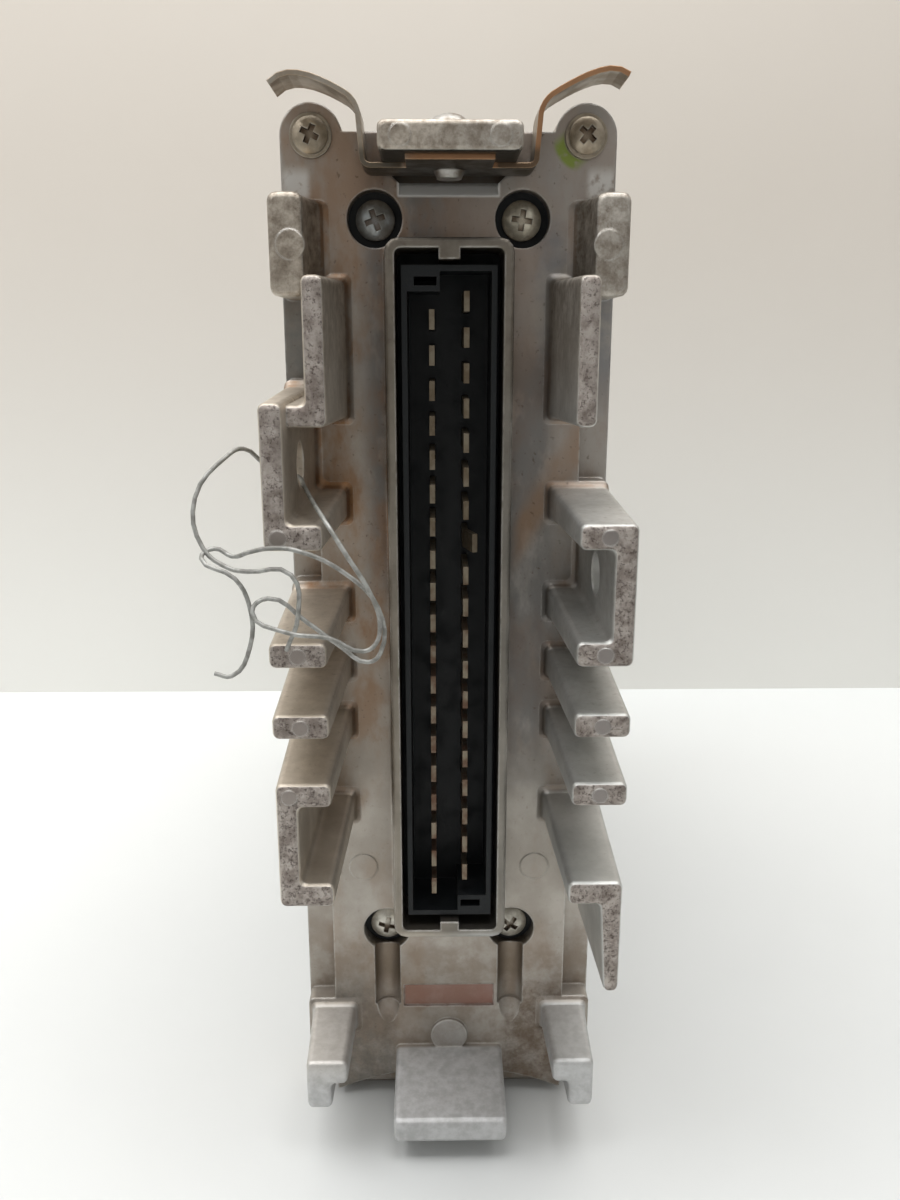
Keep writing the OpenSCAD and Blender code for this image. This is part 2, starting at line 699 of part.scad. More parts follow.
// Domed cross-recess screw with its head's underside at depth 0 and its shank towards +y
module screw(head_r, flange_r, len) {
  slot_w = 0.8;
  slot_l = 1.06 * head_r;
  slot_d = 1.2;
  flange_t = 0.5;
  dome = 1.1;
  dome_r = (head_r * head_r + dome * dome) / (2 * dome);
  difference() {
    union() {
      intersection() {
        along_y(-head_h, 0) circle(head_r);
        translate([0, dome_r - head_h, 0]) sphere(dome_r);
      }
      along_y(-flange_t, 0) circle(flange_r);
      along_y(-flange_t, len) circle(shank_r);
    }
    for (turn = [0, 90])
      rotate([0, turn, 0]) translate([-slot_l / 2, -head_h - cut, -slot_w / 2]) cube([slot_l, cut + slot_d, slot_w]);
  }
}

module header_screws() color([0.6, 0.58, 0.52]) from_face() {
  turn = [12, -20, 35, 8];
  for (i = [0 : 3])
    translate([header_screws_at[i][0], header_y, header_screws_at[i][1]])
      rotate([0, turn[i], 0]) screw(header_head_r, header_head_r, header_flange_t + carrier_t);
}

module corner_screws() color([0.6, 0.58, 0.52]) from_face() {
  turn = [25, 40];
  for (i = [0, 1])
    translate([front_corners[i][0], 0, front_corners[i][1]])
      rotate([0, turn[i], 0]) screw(corner_head_r, corner_flange_r, sleeve_y + port_len);
}

// Outline of a sheet of thickness t along a line of points, all on one side of it
function sheet_side(path, t) =
  [for (i = [0 : len(path) - 1])
    let (a = path[max(i - 1, 0)], b = path[min(i + 1, len(path) - 1)]) path[i] - t * outward(a, b)];
function reversed(list) = [for (i = [len(list) - 1 : -1 : 0]) list[i]];

// One arm of the clip, from the middle out, up, over the lug and down again at its tip
module clip_ear(side, droop) {
  bend = 1.4;
  rise = 4.9;
  lean = 0.4;
  flare = 3.2;
  lift = 6;
  sag = 2;
  curl = 1.6;
  corner = [for (a = [-90 : 15 : 0]) [clip_x - bend + bend * cos(a), clip_z + bend + bend * sin(a)]];
  shoulder = [for (a = [0 : 11 : 55])
    [clip_x + lean + flare * (1 - cos(a)), clip_z + bend + rise + flare * sin(a)]];
  last = shoulder[len(shoulder) - 1];
  ear_len = corner_x + lug_r - last[0];
  ear = [for (u = [0.125 : 0.125 : 1])
    [last[0] + ear_len * u, last[1] + lift * u - (sag + droop) * u * u - curl * pow(u, 6)]];
  path = concat([[0, clip_z]], corner, shoulder, ear);
  on_side(side)
    along_y(-clip_back - clip_arm_w, -clip_back) polygon(concat(path, reversed(sheet_side(path, clip_t))));
}

module spring_clip() color([0.66, 0.5, 0.34]) from_face() {
  difference() {
    union() {
      clip_ear(1, 0);
      clip_ear(-1, 1.15);
      translate([-clip_tongue_w / 2, -clip_front, clip_z]) cube([clip_tongue_w, clip_front - clip_back, clip_t]);
    }
    translate([0, rivet_y, clip_z - cut]) cylinder(h = clip_t + 2 * cut, r = rivet_r + hole_clearance);
  }
}

module clip_rivet() color([0.55, 0.54, 0.52]) from_face() translate([0, rivet_y, 0]) {
  translate([0, 0, clip_z - rivet_tail_h])
    cylinder(h = rivet_tail_h, r1 = rivet_tail_r - sink, r2 = rivet_tail_r);
  translate([0, 0, clip_z - sink]) cylinder(h = ledge_top - clip_z + 2 * sink, r = rivet_r);
  translate([0, 0, ledge_top]) intersection() {
    cylinder(h = rivet_head_h, r = rivet_head_r);
    translate([0, 0, rivet_head_h - rivet_dome_r]) sphere(rivet_dome_r);
  }
}

// Ring of the case's outline, used by the sleeve and both gaskets
module case_ring(wall) {
  difference() {
    flange_outline();
    translate([-plate_w / 2 + wall, wall]) square([plate_w - 2 * wall, plate_h - 2 * wall]);
  }
  for (sx = [-1, 1]) translate([sx * corner_x, corner_low]) square(2 * lug_r, center = true);
}

module screw_holes(places, y0, y1)
  for (p = places) translate([p[0], 0, p[1]]) along_y(y0, y1) circle(shank_r + hole_clearance);

module front_gasket() color([0.12, 0.12, 0.12]) from_face() difference() {
  along_y(plate_depth, sleeve_y) case_ring(pocket_wall);
  screw_holes(front_corners, plate_depth - cut, sleeve_y + cut);
}

module rear_gasket() color([0.12, 0.12, 0.12]) from_face() difference() {
  along_y(sleeve_end, cover_y) case_ring(pocket_wall);
  screw_holes(rear_corners, sleeve_end - cut, cover_y + cut);
}

// Extruded sleeve with a screw port in each corner and a pair of grooved rails for the board
module case_sleeve() color([0.7, 0.7, 0.7]) from_face() {
  rail_t = 1.6;
  rail_h = 4;
  rail_sink = 0.1;
  rail_clear = 0.15;
  difference() {
    along_y(sleeve_y, sleeve_end) case_ring(sleeve_wall);
    screw_holes(rear_corners, sleeve_y - cut, sleeve_end + cut);
  }
  for (x = [-board_x - board_t - rail_clear - rail_t, -board_x + rail_clear],
       z = [board_low - rail_sink, board_high + rail_sink - rail_h])
    translate([x, board_front, z]) cube([rail_t, board_len, rail_h]);
}

module rear_cover() color([0.68, 0.68, 0.68]) from_face() difference() {
  along_y(cover_y, cover_y + cover_t) flange_outline();
  screw_holes(rear_corners, cover_y - cut, cover_y + cover_t + cut);
}

module rear_screws() color([0.6, 0.58, 0.52]) from_face()
  for (p = rear_corners)
    translate([p[0], cover_y + cover_t, p[1]]) mirror([0, 1, 0])
      screw(corner_head_r, corner_flange_r, cover_t + gasket_t + port_len);

// Plate behind the header, with a window for the tails and a cooling leg along the left wall
module header_carrier() color([0.72, 0.72, 0.74]) from_face() {
  window = [column_gap + 6, contact_span + 4];
  difference() {
    translate([0, 0, plug_z]) along_y(carrier_y, carrier_y + carrier_t) difference() {
      square([pocket_w - 2 * pocket_clear, header_flange_h], center = true);
      square(window, center = true);
    }
    screw_holes(header_screws_at, carrier_y - cut, carrier_y + carrier_t + cut);
  }
  translate([-pocket_w / 2 + pocket_clear, carrier_y + carrier_t, cooling_low])
    cube([carrier_t, cooling_len, cooling_h]);
}

module circuit_board() color([0.16, 0.32, 0.2]) from_face() difference() {
  translate([-board_x - board_t, board_front, board_low]) cube([board_t, board_len, board_high - board_low]);
  for (side = [-1, 1], i = [0 : contacts - 1])
    translate([-board_x - board_t - cut, tail_depth(side), contact_z(side, i)]) rotate([0, 90, 0])
      cylinder(h = board_t + 2 * cut, r = tail_t / 2 + hole_clearance, $fn = 16);
}

// Stands a component on the board's component side, at these shares of the board's length and height
module on_board(at)
  translate([-board_x, board_front + at[0] * board_len, board_low + at[1] * (board_high - board_low)])
    rotate([0, 90, 0]) rotate([0, 0, 90]) children();

// Two-row chip of width w over its legs, with its legs along its length l
module chip(w, l, legs) {
  inner = w - 2 * leg_t;
  overlap = 0.05;
  translate([-inner / 2, -l / 2, chip_stand]) cube([inner, l, chip_h]);
  for (sx = [-1, 1], i = [0 : legs / 2 - 1])
    translate([sx * (w - leg_t) / 2 - leg_t / 2 - sx * overlap, (i - (legs / 2 - 1) / 2) * chip_pitch - leg_t / 2, 0])
      cube([leg_t, leg_t, chip_stand + chip_h / 2]);
}

module processor() color([0.1, 0.1, 0.11]) from_face() on_board(processor_at) chip(wide_chip_w, processor_l, 40);

module memory_socket() color([0.2, 0.18, 0.16]) from_face() on_board(memory_at)
  linear_extrude(socket_h) difference() {
    square([socket_w, socket_l], center = true);
    square([socket_w - 2 * socket_rim, socket_l - 2 * socket_rim], center = true);
  }

module memory_chip() color([0.12, 0.1, 0.1]) from_face()
  on_board(memory_at) translate([0, 0, socket_h]) chip(wide_chip_w, memory_l, 28);

module driver_chips() color([0.1, 0.1, 0.11]) from_face()
  for (at = drivers_at) on_board(at) chip(driver_w, driver_l, 16);

module capacitors() color([0.2, 0.24, 0.36]) from_face()
  for (at = capacitors_at) on_board(at) cylinder(h = capacitor_h, r = capacitor_r);

module crystal() color([0.75, 0.75, 0.75]) from_face()
  on_board(crystal_at) linear_extrude(crystal_h) square([crystal_w, crystal_l], center = true);

module choke_coil() color([0.55, 0.3, 0.14]) from_face() on_board(choke_at)
  linear_extrude(choke_h) difference() {
    circle(choke_r);
    circle(choke_hole_r);
  }

// Power transistors, tab flat on the cooling leg, three leads turned over into the board's rear side
module power_transistors() color([0.14, 0.14, 0.15]) from_face() {
  body_l = 9;
  tab_l = 15;
  tab_t = 1.3;
  lead_t = 0.7;
  lead_l = 3;
  lead_rise = 2;
  lead_reach = -board_x - board_t - leg_face - lead_rise;
  for (z = transistor_z)
    translate([leg_face, transistor_y, z - transistor_w / 2]) {
      cube([tab_t, tab_l, transistor_w]);
      cube([transistor_t, body_l, transistor_w]);
      for (k = [-1, 0, 1])
        translate([lead_rise, -lead_l, transistor_w / 2 + k * chip_pitch - lead_t / 2]) {
          cube([lead_t, lead_l + sink, lead_t]);
          cube([lead_reach, lead_t, lead_t]);
        }
    }
}

// Places of the clamp screws, between the transistors of each pair
function clamp_z(k) = transistor_z[k] + transistor_pitch / 2;

module clamp_bar() color([0.7, 0.7, 0.72]) from_face() difference() {
  translate([leg_face + transistor_t, bar_y, transistor_z[0] - transistor_pitch / 2])
    cube([bar_t, bar_w, 6 * transistor_pitch]);
  for (k = [0 : 2 : 4])
    translate([leg_face, bar_y + bar_w / 2, clamp_z(k)]) rotate([0, 90, 0])
      cylinder(h = transistor_t + bar_t + cut, r = clamp_shank_r + hole_clearance);
}

module clamp_screws() color([0.6, 0.58, 0.52]) from_face()
  for (k = [0 : 2 : 4])
    translate([leg_face, bar_y + bar_w / 2, clamp_z(k)]) rotate([0, 90, 0]) {
      cylinder(h = transistor_t + bar_t + sink, r = clamp_shank_r);
      translate([0, 0, transistor_t + bar_t]) cylinder(h = clamp_head_h, r = 2 * clamp_shank_r);
    }

// A smooth line through the points of a route, with one point more between each two
function between(a, b, c, d) = (9 * (b + c) - a - d) / 16;
function smooth(route) =
  [for (i = [0 : 2 * len(route) - 2])
    let (k = floor(i / 2), last = len(route) - 1)
      i % 2 == 0 ? route[k]
                 : between(route[max(k - 1, 0)], route[k], route[k + 1], route[min(k + 2, last)])];

// A round cord along a line of points: one ring of points per line point, square to the line there
function along(path, i) = unit(path[min(i + 1, len(path) - 1)] - path[max(i - 1, 0)]);
function across(dir) = unit(cross(dir, abs(dir[2]) > 0.8 ? [0, 1, 0] : [0, 0, 1]));
function carried(path, i) =
  i == 0 ? across(along(path, 0))
         : let (last = carried(path, i - 1), dir = along(path, i)) unit(last - dir * (last * dir));

module cord(path, r, sides)
  loft([for (i = [0 : len(path) - 1])
    let (dir = along(path, i), u = carried(path, i), v = cross(dir, u))
      [for (k = [0 : sides - 1]) path[i] + r * (cos(360 * k / sides) * u + sin(360 * k / sides) * v)]]);

module seal_wire() color([0.5, 0.52, 0.52]) from_face() translate(left_hole) cord(smooth(wire_route), wire_r, 8);

front_casting();
connector_header();
contact_blades();
header_screws();
corner_screws();
spring_clip();
clip_rivet();
front_gasket();
case_sleeve();
rear_gasket();
rear_cover();
rear_screws();
header_carrier();
circuit_board();
processor();
memory_socket();
memory_chip();
driver_chips();
capacitors();
crystal();
choke_coil();
power_transistors();
clamp_bar();
clamp_screws();
seal_wire();
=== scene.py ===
import math

import bpy
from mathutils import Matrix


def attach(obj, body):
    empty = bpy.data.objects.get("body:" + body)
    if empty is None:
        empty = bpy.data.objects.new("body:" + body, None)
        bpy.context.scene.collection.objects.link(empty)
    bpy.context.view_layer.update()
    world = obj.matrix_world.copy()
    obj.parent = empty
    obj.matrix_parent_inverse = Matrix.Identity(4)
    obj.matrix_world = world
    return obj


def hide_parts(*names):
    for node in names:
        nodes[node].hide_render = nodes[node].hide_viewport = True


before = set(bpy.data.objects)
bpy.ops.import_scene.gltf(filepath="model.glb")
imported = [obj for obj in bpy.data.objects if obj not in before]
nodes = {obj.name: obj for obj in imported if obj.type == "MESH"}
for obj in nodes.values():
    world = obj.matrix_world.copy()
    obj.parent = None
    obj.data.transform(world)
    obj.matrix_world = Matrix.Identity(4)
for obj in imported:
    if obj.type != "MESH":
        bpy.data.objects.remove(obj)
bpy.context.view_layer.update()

# The front casting: one piece of die-cast aluminium with its guide fins, collar, ledge and foot.
# It has no paint: the skin is oxidised and stained brown and blue-grey, the fin tips are
# pitted where they broke out of the die, and the edges are rubbed bright by handling. In the colours
# below, the edges also carry painted highlights.


class Field:
    """A socket of a material's nodes. Arithmetic on it adds the nodes that work it out."""

    def __init__(self, tree, socket):
        self.tree = tree
        self.socket = socket

    def make(self, kind, out=0, sockets=None, **settings):
        """A new node with these settings, and with these values or links in its sockets."""
        node = self.tree.nodes.new(kind)
        for name, value in settings.items():
            setattr(node, name, value)
        for key, value in (sockets or {}).items():
            if isinstance(value, Field):
                self.tree.links.new(value.socket, node.inputs[key])
            else:
                node.inputs[key].default_value = value
        return Field(self.tree, node.outputs[out])

    def math(self, operation, *values):
        return self.make("ShaderNodeMath", operation=operation, sockets=dict(enumerate(values)))

    def __add__(self, other):
        return self.math("ADD", self, other)

    __radd__ = __add__

    def __sub__(self, other):
        return self.math("SUBTRACT", self, other)

    def __rsub__(self, other):
        return self.math("SUBTRACT", other, self)

    def __mul__(self, other):
        return self.math("MULTIPLY", self, other)

    __rmul__ = __mul__

    def __neg__(self):
        return 0 - self

    def __abs__(self):
        return self.math("ABSOLUTE", self)

    def root(self):
        return self.math("SQRT", self)

    def or_more(self, other):
        """The larger of the two."""
        return self.math("MAXIMUM", self, other)

    def between(self, low, high):
        """0 at low and 1 at high, with a soft start and end."""
        return self.make("ShaderNodeMapRange", interpolation_type="SMOOTHSTEP",
                         sockets={0: self, 1: low, 2: high})

    def past(self, line, blur):
        """1 past the line and 0 before it, blurred by so much on each side."""
        return self.between(line - blur, line + blur)

    def before(self, line, blur):
        """1 before the line and 0 past it, with the same blur."""
        return 1 - self.past(line, blur)

    def mix(self, first, second):
        """The first colour where this mask is 0, the second where it is 1."""
        return self.make("ShaderNodeMix", out=2, data_type="RGBA",
                         sockets={0: self, 6: first, 7: second})

    def noise(self, size, detail=4.0, rough=0.55, stretch=(1, 1, 1)):
        """Cloudy variation whose patches measure about size metres."""
        place = self.make("ShaderNodeMapping", sockets={"Vector": self, "Scale": stretch})
        return self.make("ShaderNodeTexNoise",
                         sockets={"Vector": place, "Scale": 1 / size,
                                  "Detail": detail, "Roughness": rough})

    def axis(self, name):
        return self.make("ShaderNodeSeparateXYZ", out=name, sockets={0: self})


def tone(red, green, blue):
    """A colour as the eye reads it, 0 to 255, turned into light values."""
    shares = [channel / 255 for channel in (red, green, blue)]
    light = [((share + 0.055) / 1.055) ** 2.4 for share in shares]
    return (*light, 1.0)


def new_finish(name):
    """A new material, and the place on the piece that its patterns start from."""
    finish = bpy.data.materials.new(name)
    finish.use_nodes = True
    coords = finish.node_tree.nodes.new("ShaderNodeTexCoord")
    return finish, Field(finish.node_tree, coords.outputs["Object"])


def lay_on(finish, **values):
    """Sets or links the surface's own sockets, with _ for each space in their names."""
    shader = finish.node_tree.nodes["Principled BSDF"]
    for name, value in values.items():
        socket = shader.inputs[name.replace("_", " ")]
        if isinstance(value, Field):
            finish.node_tree.links.new(value.socket, socket)
        else:
            socket.default_value = value


def dress(finish, *names):
    """Gives the CAD nodes of these names that finish and no other."""
    for name in names:
        nodes[name].data.materials.clear()
        nodes[name].data.materials.append(finish)


def facing(place):
    """The direction that the surface faces."""
    return place.make("ShaderNodeNewGeometry", out="Normal")


def edges(place, radius):
    """The normal rounded over the edges, and a mask of the edges themselves."""
    rounded = place.make("ShaderNodeBevel", samples=4, sockets={"Radius": radius})
    same = place.make("ShaderNodeVectorMath", out="Value", operation="DOT_PRODUCT",
                      sockets={0: rounded, 1: facing(place)})
    return rounded, (1 - same).between(0.02, 0.2)


def crevices(place, reach):
    """How far a point is shut in by what stands within that reach."""
    return 1 - place.make("ShaderNodeAmbientOcclusion", out="AO", samples=6,
                          sockets={"Distance": reach})


def relief(place, height, depth, normal):
    """A bump of that real depth."""
    return place.make("ShaderNodeBump", sockets={"Strength": 1.0, "Distance": depth,
                                                 "Height": height, "Normal": normal})


# Where the casting's forms lie, in metres: depths are negative towards the plug.
plate_front = -0.06095
plateau_back = -0.0597
flange_front = -0.0583
fin_fronts = -0.0785
disc_fronts = -0.08876
collar_side, collar_foot, collar_head = 0.0102, 0.0375, 0.1505
fillet_front, fillet_back = -0.06135, -0.0602
ledge_side, ledge_under = 0.0111, 0.154
dip_side, dip_foot, dip_wall = 0.0107, 0.1541, -0.059
bar_side, bar_foot, bar_head = 0.0073, 0.1524, 0.1544
red_side, red_foot, red_head = 0.0079, 0.0184, 0.0226
groove_side, groove_wall, groove_head = 0.0135, -0.0596, 0.035
corner_screw_x, corner_screw_z = 0.0195, 0.1604

casting, place = new_finish("raw_casting")
rounded, edge = edges(place, 0.0005)
hollow = crevices(place, 0.004)
across, depth, height = (place.axis(name) for name in "XYZ")
aside = abs(across)
outward = facing(place)
forward = (-outward.axis("Y")).between(0.7, 0.95)
downward = (-outward.axis("Z")).between(0.4, 0.8)
upward = outward.axis("Z").between(0.4, 0.8)
left = 1 - across.between(-0.006, 0.006)
right = 1 - left
upper = height.between(0.04, 0.1)
plate = depth.past(plate_front, 0.00035)
face = plate * depth.before(plateau_back, 0.0003)

grain = place.noise(0.00035, 3)
cloud = place.noise(0.0016, 4, 0.6)
blotches = cloud.between(0.3, 0.7)
streaks = place.noise(0.007, 5, 0.6, (1, 1, 0.5))
skin = place.noise(0.011, 5, 0.6).between(0.3, 0.7)
smear = place.noise(0.0018, 6, 0.72).between(0.22, 0.72)

# The bare metal: cool on the right, warm on the left and at the top, clean on the foot and painted
# lighter there as painted light bounced up from the table, and smeared on the upper fins and blocks.
cool = skin.mix(tone(186, 187, 184), tone(212, 212, 209))
warm = skin.mix(tone(190, 180, 166), tone(218, 209, 196))
metal = (left + 0.6 * right * height.between(0.118, 0.132)).mix(cool, warm)
# The foot is painted lighter and neutral: clean metal, and painted light from the table's bounce.
low = 1 - height.between(0.012, 0.03)
metal = low.mix(metal, blotches.mix(tone(184, 184, 183), tone(204, 204, 204)))
smeared = smear * (0.25 * upper + 0.7 * height.between(0.12, 0.145))
metal = smeared.mix(metal, tone(128, 117, 104))

# The plate's stains: brown on the left and grey on the right, with rust, and grime near the foot.
metal = plate.mix(metal, skin.mix(tone(160, 153, 144), tone(184, 178, 170)))
grey_side = height.between(0.085, 0.115).mix(tone(116, 114, 112), tone(168, 162, 155))
stain = left.mix(grey_side, tone(164, 153, 141))
metal = (plate * upper * streaks.between(0.25, 0.5) * 0.9).mix(metal, stain)
lower_stain = place.noise(0.006, 6, 0.65).between(0.36, 0.62)
lower_stain = lower_stain * plate * forward * (1 - height.between(0.026, 0.04))
metal = (lower_stain * 0.65).mix(metal, tone(138, 124, 110))
grime = face * forward * smear * (1 - height.between(0.020, 0.026)) * aside.past(0.0095, 0.001)
metal = (grime * 0.7).mix(metal, left.mix(tone(104, 84, 66), tone(122, 118, 112)))
rust = streaks.between(0.48, 0.64) * plate * (0.2 + 0.4 * upper * left)
rust = rust * (1 - 0.7 * height.between(0.138, 0.148))
metal = rust.mix(metal, tone(138, 108, 79))

# The heat tints of the face's upper half: tan beside the collar, blue further out, a dark band along
# the collar, which on the right reaches further down as painted shade of the fins, a grey left flange,
# and one slanting brown streak on the right.
outer = aside.past(0.0129, 0.0017)
top_face = plate * forward * height.between(0.116, 0.132) * (1 - 0.8 * height.between(0.146, 0.151))
metal = (top_face * right * (1 - outer) * 0.4).mix(metal, tone(178, 157, 140))
bluish = top_face * (0.3 + 0.7 * outer * right) * place.noise(0.009, 4, 0.55).between(0.36, 0.56)
metal = (bluish * 0.6).mix(metal, tone(118, 123, 130))
shade = 0.4 + 0.6 * place.noise(0.005, 4, 0.6, (1, 1, 0.5)).between(0.34, 0.54)
# On the right the dark band reaches further down: painted shade where the fins shadow the plate.
beside = 1 - (aside - 0.0035 * right).between(0.0105, 0.0142)
risen = (height + 0.03 * right).between(0.085, 0.104)
faded = 0.85 * right * height.between(0.124, 0.138)
band_and_fin_shade = beside * risen * (1 - faded) * face * shade
metal = (band_and_fin_shade * 0.8).mix(metal, tone(112, 110, 108))
flange = depth.past(flange_front, 0.0005) * forward * left * height.past(0.116, 0.004)
metal = (flange * (0.35 + 0.55 * cloud)).mix(metal, tone(108, 111, 109))
streak_x, streak_z, streak_slope, streak_scale = 0.0098, 0.1012, 1.59, 0.53
slant = abs((height - streak_z) - streak_slope * (across - streak_x)) * streak_scale
brown_streak = (1 - slant.between(0.0006, 0.0034)) * face * forward * across.between(0.0090, 0.0115)
metal = (brown_streak * (0.4 + 0.6 * skin) * 0.6).mix(metal, tone(150, 116, 84))

# Where it is darker: the collar, the fillets at the fins' roots, painted shade under the ledge and in
# the dip below it, dirt and painted shade in crevices, and specks of dirt.
collar = (1 - plate) * aside.before(collar_side, 0.0002)
collar = collar * height.past(collar_foot, 0.0009) * height.before(collar_head, 0.0005)
metal = (collar * 0.85).mix(metal, skin.mix(tone(100, 94, 85), tone(126, 119, 109)))
fillet = depth.past(fillet_front, 0.00025) * depth.before(fillet_back, 0.0001) * upper
metal = (fillet * streaks.between(0.4, 0.6) * (0.25 + 0.45 * left)).mix(metal, tone(150, 106, 64))
# The underside of the ledge and the dip below it are painted near-black: painted shade under the ledge.
ledge_underside_shade = downward * height.past(ledge_under, 0.0005) * aside.before(ledge_side, 0.0003)
dip_shade = depth.past(dip_wall, 0.0002) * height.past(dip_foot, 0.0003) * aside.before(dip_side, 0.0003)
dip_shade = dip_shade * (1 - upward)
metal = (ledge_underside_shade * 0.9).or_more(dip_shade * 0.85).mix(metal, tone(54, 51, 44))
specks = place.noise(0.0009, 4, 0.65).between(0.61, 0.7) * (0.45 + 0.55 * plate) * (0.3 + 0.7 * upper)
# Crevices are painted dark brown from how shut in they are: partly dirt, partly painted shade. The
# specks are dirt.
dirt_and_shade = hollow.between(0.3, 0.8) * place.noise(0.003, 4).between(0.35, 0.6) * (0.35 + 0.65 * upper)
metal = (dirt_and_shade * 0.55).or_more(specks * 0.5).mix(metal, tone(82, 64, 48))

# The fin tips: broken out of the die and pitted, with the smooth discs that the ejector pins left.
tip = forward * depth.before(fin_fronts, 0.0005)
disc = tip * depth.before(disc_fronts, 0.00003)
broken = tip * (1 - disc)
pits = place.noise(0.0005, 5, 0.8).between(0.52, 0.62) * broken
metal = broken.mix(metal, blotches.mix(tone(134, 124, 117), tone(184, 176, 169)))
metal = (pits * 0.75).mix(metal, tone(74, 61, 56))
metal = (disc * 0.85).mix(metal, tone(132, 124, 120))

# Single marks: the rusty band above the foot, the stained grooves beside it, and a dab of green
# lacquer below and left of the right corner screw.
red = face * aside.before(red_side, 0.0003)
red = red * height.past(red_foot, 0.0003) * height.before(red_head, 0.0003)
metal = (red * (0.7 + 0.25 * skin)).mix(metal, tone(148, 99, 86))
groove = aside.before(groove_side, 0.0003) * depth.past(groove_wall, 0.0002)
groove = groove * height.before(groove_head, 0.001) * height.past(0.0225, 0.002)
metal = (groove * 0.7).mix(metal, tone(122, 108, 92))
dab_x, dab_z = -0.75, -0.66
out_x = across - corner_screw_x
out_z = height - corner_screw_z
reach = (out_x * out_x + out_z * out_z).root()
ring = reach.past(0.0031, 0.0002) * reach.before(0.00465, 0.00035)
wedge = 1 - abs(out_x * dab_z - out_z * dab_x).between(0.0014, 0.0030)
lacquer = ring * wedge * (out_x * dab_x + out_z * dab_z).between(0.0, 0.002)
lacquer = lacquer * plate * cloud.between(0.2, 0.42)
metal = (lacquer * 0.9).mix(metal, tone(130, 148, 56))

# What is painted bright: the edges, rubbed by handling and also painted as edge highlights, the
# chamfer under the ledge as a painted highlight, and patches of the plate beside the blocks as painted
# highlights.
# The chamfer under the ledge is painted near-white and less metallic: a painted highlight of light from
# the front above, where the ledge shades it.
bar = plate * aside.before(bar_side, 0.0003)
bar = bar * height.past(bar_foot, 0.0002) * height.before(bar_head, 0.0002)
# Patches of the plate beside the blocks, below the corner screws, are painted bright: painted
# highlights where they face up to the light.
bare_patch_highlight = aside.past(0.02, 0.0006) * aside.before(0.0238, 0.0008)
bare_patch_highlight = bare_patch_highlight * height.past(0.15215, 0.00065) * height.before(0.1559, 0.0011)
bare_patch_highlight = bare_patch_highlight * plate * cloud.between(0.3, 0.5)
# Edges are painted bright: partly wear from handling, partly painted edge highlights.
worn_edge_and_highlight = edge * (1 - hollow.between(0.35, 0.65)) * place.noise(0.002, 4).between(0.3, 0.55)
bright = (worn_edge_and_highlight * 0.85).or_more(bare_patch_highlight * 0.8)
metal = bright.mix(metal, tone(218, 216, 211))
metal = bar.mix(metal, tone(250, 248, 244))
unevenness = 0.3 * grain + 0.6 * cloud + 1.6 * place.noise(0.005, 3) - 3 * pits
lay_on(casting,
       Base_Color=metal,
       Metallic=0.95 - 0.7 * bar - 0.4 * lacquer,
       Roughness=0.42 + 0.12 * grain - 0.08 * bright + 0.12 * dirt_and_shade + 0.1 * broken + 0.14 * low,
       Normal=relief(place, unevenness, 0.00005, rounded))
dress(casting, "front_casting")

# The connector header: black glass-filled plastic, moulded in one piece with its shroud and screwed
# to the back of the casting, and slightly dusty on its floor.

plastic, place = new_finish("header_plastic")
rounded, edge = edges(place, 0.0002)
dust = place.noise(0.004, 5).between(0.45, 0.75)
dark = (dust * 0.3).mix(tone(20, 23, 25), tone(42, 44, 45))
lay_on(plastic,
       Base_Color=(edge * 0.25).mix(dark, tone(74, 73, 70)),
       Specular_IOR_Level=0.3,
       Roughness=0.46 + 0.3 * dust,
       Normal=relief(place, place.noise(0.0004, 2), 0.00003, rounded))
dress(plastic, "connector_header")

# The contact blades: tinned brass, pressed into the header in two staggered columns and turned over
# behind it to the board. The tin is dull and wears through to a tan tint, redder low down.

blade, place = new_finish("contact_metal")
tarnish = place.noise(0.003, 4).between(0.35, 0.65)
low_down = 1 - place.axis("Z").between(0.07, 0.11)
tan = low_down.mix(tone(104, 92, 76), tone(108, 84, 70))
lay_on(blade,
       Base_Color=tarnish.mix(tone(128, 119, 104), tan),
       Metallic=0.9,
       Roughness=0.42 + 0.2 * tarnish,
       Normal=relief(place, place.noise(0.0006, 3), 0.00002, edges(place, 0.0001)[0]))
dress(blade, "contact_blades")

# The screws: zinc-plated steel with pressed cross recesses and brown dirt in them. The plating has
# yellowed on the right and dulled most at the top corners.

zinc, place = new_finish("zinc_screws")
rounded, edge = edges(place, 0.00025)
hollow = crevices(place, 0.0015)
dull = place.noise(0.0022, 4).between(0.35, 0.68)
height = place.axis("Z")
yellowed = place.axis("X").between(0.0, 0.004)
plating = yellowed.mix(tone(170, 175, 176), tone(228, 222, 204))
plating = (1 - height.between(0.07, 0.09)).mix(plating, tone(224, 221, 210))
plating = height.between(0.150, 0.154).mix(plating, tone(172, 160, 142))
plating = (dull * 0.6).mix(plating, tone(116, 107, 92))
plating = (hollow.between(0.3, 0.7) * 0.8).mix(plating, tone(104, 80, 58))
lay_on(zinc,
       Base_Color=(edge * 0.5).mix(plating, tone(206, 204, 196)),
       Metallic=0.9,
       Roughness=0.36 + 0.2 * dull,
       Normal=relief(place, place.noise(0.0005, 3), 0.00004, rounded))
dress(zinc, "header_screws", "corner_screws", "rear_screws", "clamp_screws")

# The spring clip: a strip of spring steel riveted under the ledge and bent up into two ears that hold
# the plug. It is tinted brown along its edges. Its underside is painted dark as painted shade, and its
# crevices and arms are painted dark with dirt and painted shade.

spring, place = new_finish("spring_steel")
rounded, edge = edges(place, 0.0002)
hollow = crevices(place, 0.006)
across = place.axis("X")
height = place.axis("Z")
outward = facing(place)
front_edge = (-outward.axis("Y")).between(0.75, 0.95)
# The underside is painted dark: painted shade under the tongue.
underside_shade = (-outward.axis("Z")).between(0.4, 0.8) * (1 - height.between(0.1565, 0.1580))
